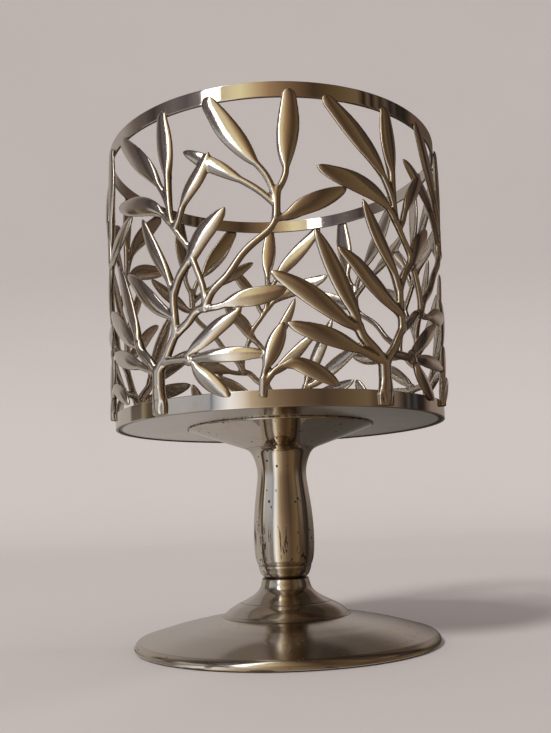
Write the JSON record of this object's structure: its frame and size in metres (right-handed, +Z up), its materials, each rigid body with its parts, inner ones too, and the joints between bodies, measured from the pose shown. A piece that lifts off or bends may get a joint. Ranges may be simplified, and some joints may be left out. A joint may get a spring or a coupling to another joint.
{
  "type": "footed jar candle holder",
  "caption": "Footed metal candle holder: an openwork sleeve of cast leaf sprays between two hoops, over a tray, turned stem and conical foot.",
  "frame": {"origin": "middle of the foot's resting face, on the surface it stands on", "axes": "+Z up along the stem's axis, -Y towards the viewer in the picture, +X to the viewer's right"},
  "size_m": [0.1133, 0.1136, 0.164],
  "materials": {
    "leaf_metal": "warm nickel plate on cast leaves, satin polish with darker hollows",
    "hoop_metal": "warm nickel plate, mirror polish",
    "sheet_metal": "nickel plate, fine satin",
    "stem_metal": "polished nickel plate over pitted casting",
    "foot_metal": "polished nickel plate with fine pits and hairline scratches",
    "solder": "dull tin solder",
    "felt": "pressed black felt",
    "steel": "zinc plated"
  },
  "bodies": {
    "root": {"foot": "foot_metal", "stem": "stem_metal", "tray_plate": "sheet_metal", "bottom_hoop": "hoop_metal", "top_hoop": "hoop_metal", "head_solder": "solder", "felt_pad": "felt", "foot_stud": "steel", "cup_washer": "steel", "lock_washer": "steel", "hex_nut": "steel", "leaf_spray_1": "leaf_metal", "leaf_spray_2": "leaf_metal", "leaf_spray_3": "leaf_metal", "leaf_spray_4": "leaf_metal", "leaf_spray_5": "leaf_metal"}
  },
  "joints": []
}
